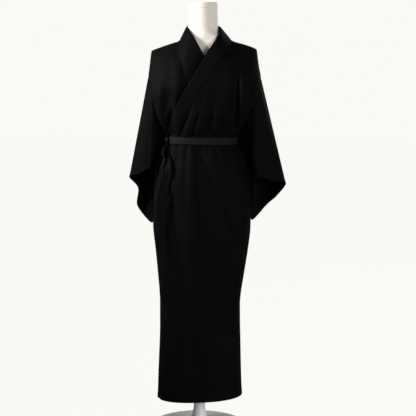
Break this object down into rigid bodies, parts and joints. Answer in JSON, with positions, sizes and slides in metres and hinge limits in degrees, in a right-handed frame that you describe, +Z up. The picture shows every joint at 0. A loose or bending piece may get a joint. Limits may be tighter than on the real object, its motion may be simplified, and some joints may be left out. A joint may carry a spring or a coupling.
{
  "type": "kimono on a limbless dress form",
  "caption": "Long wrapped robe of plain black cloth with wide open sleeves, a collar band and a narrow knotted belt, on a limbless dress form with a pole and a round stand.",
  "frame": {"origin": "middle of the underside of the round base", "axes": "+Z up, the front of the garment faces -Y, +X is the wearer's left"},
  "size_m": [0.567, 0.37, 1.572],
  "materials": {
    "black_cloth": "plain matt weave, thin and soft",
    "belt_cloth": "plain smooth weave, a little lighter than the robe",
    "cream_cover": "smooth, matt, off-white",
    "white_paint": "satin white paint"
  },
  "bodies": {
    "root": {"back_left": "black_cloth", "back_right": "black_cloth", "front_left": "black_cloth", "front_right": "black_cloth", "overlap_left": "black_cloth", "overlap_right": "black_cloth", "sleeve_left": "black_cloth", "sleeve_right": "black_cloth", "collar": "black_cloth", "belt": "belt_cloth", "belt_knot": "belt_cloth", "belt_loop": "belt_cloth", "belt_tail_a": "belt_cloth", "belt_tail_b": "belt_cloth", "form_torso": "cream_cover", "neck_cap": "white_paint", "stand_pole": "white_paint", "stand_base": "white_paint"}
  },
  "joints": []
}
